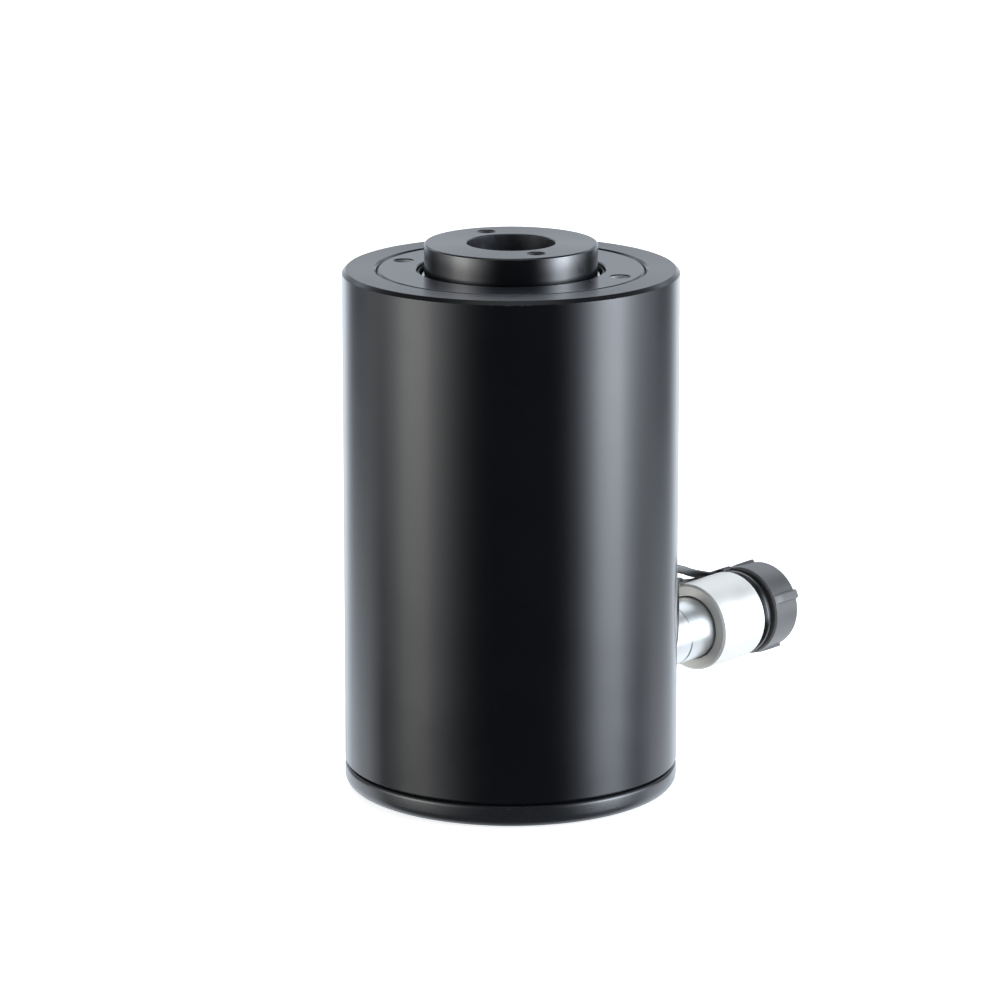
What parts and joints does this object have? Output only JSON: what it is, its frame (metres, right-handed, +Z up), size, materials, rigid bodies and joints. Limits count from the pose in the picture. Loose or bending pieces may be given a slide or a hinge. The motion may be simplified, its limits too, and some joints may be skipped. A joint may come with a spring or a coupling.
{
  "type": "hollow plunger cylinder",
  "caption": "Black aluminium hollow plunger hydraulic cylinder: through bore, spring-return plunger with threaded saddle, steel base plate, side port quick coupler with tethered dust cap.",
  "frame": {"origin": "middle of the overall bounding box, on the bearing face of the base plate", "axes": "+Z up along the cylinder axis (which stands at x = -0.04975, y = 0), towards the saddle; +X along the coupler, away from the body; Y across"},
  "size_m": [0.2294, 0.13, 0.215],
  "materials": {
    "cylinder_body": "black hard anodised, turned",
    "base_plate": "black oxide, turned",
    "stop_ring": "black oxide, faced",
    "saddle": "black oxide, faced",
    "screws": "black oxide",
    "centre_tube": "hard chrome",
    "plunger": "hard chrome, ground",
    "ground_steel": "ground",
    "spring_steel": "oiled spring wire",
    "bronze": "bearing bronze",
    "urethane": "polyurethane",
    "ptfe": "filled PTFE",
    "nitrile": "nitrile",
    "wiper_rubber": "moulded",
    "zinc_steel": "bright zinc plate",
    "nickel_steel": "bright nickel plate",
    "coupler_sleeve": "bright zinc plate, turned",
    "dust_cap": "moulded dark grey",
    "strap_rubber": "moulded black"
  },
  "bodies": {
    "root": {"base_plate": "base_plate", "base_screw_1": "screws", "base_screw_2": "screws", "base_screw_3": "screws", "base_screw_4": "screws", "cylinder_body": "cylinder_body", "centre_tube": "centre_tube", "centre_tube_oring": "nitrile", "stop_ring": "stop_ring", "stop_ring_bearing": "bronze", "stop_sleeve": "ground_steel", "rod_wiper": "wiper_rubber", "return_spring": "spring_steel", "port_adapter": "zinc_steel", "coupler_body": "nickel_steel", "sleeve_retaining_ring": "spring_steel", "poppet_spring": "spring_steel", "dust_cap_strap": "strap_rubber"},
    "plunger_group": {"plunger": "plunger", "piston_seal": "urethane", "piston_backup_ring": "ptfe", "piston_bearing": "bronze", "inner_seal": "urethane", "inner_bearing": "bronze", "saddle": "saddle"},
    "collar": {"coupler_sleeve": "coupler_sleeve"},
    "poppet": {"coupler_poppet": "nickel_steel", "poppet_seal": "nitrile"},
    "cap_ring": {"strap_cap_ring": "strap_rubber"},
    "cap": {"dust_cap": "dust_cap"}
  },
  "joints": [
    {"name": "plunger_slide", "type": "slide", "parent": "root", "child": "plunger_group", "axis": [0, 0, 1], "range_m": [0, 0.05], "stiffness_N_per_m": 10000, "springref_m": -0.02, "deforming": ["return_spring"]},
    {"name": "collar_spin", "type": "hinge", "parent": "root", "child": "collar", "pos_m": [0.07825, 0, 0.038], "axis": [1, 0, 0], "continuous": true},
    {"name": "cap_travel", "type": "slide", "parent": "root", "child": "cap_ring", "axis": [1, 0, 0], "range_m": [0, 0.0121], "deforming": ["dust_cap_strap"]},
    {"name": "cap_turn", "type": "hinge", "parent": "cap_ring", "child": "cap", "pos_m": [0.10525, 0, 0.038], "axis": [1, 0, 0], "range_deg": [0, 2160]},
    {"name": "poppet_slide", "type": "slide", "parent": "root", "child": "poppet", "axis": [-1, 0, 0], "range_m": [0, 0.003], "stiffness_N_per_m": 500, "springref_m": -0.004, "deforming": ["poppet_spring"]}
  ],
  "couplings": [
    {"joint": "cap_travel", "follows": "cap_turn", "m_per_rad": 0.00031831}
  ]
}
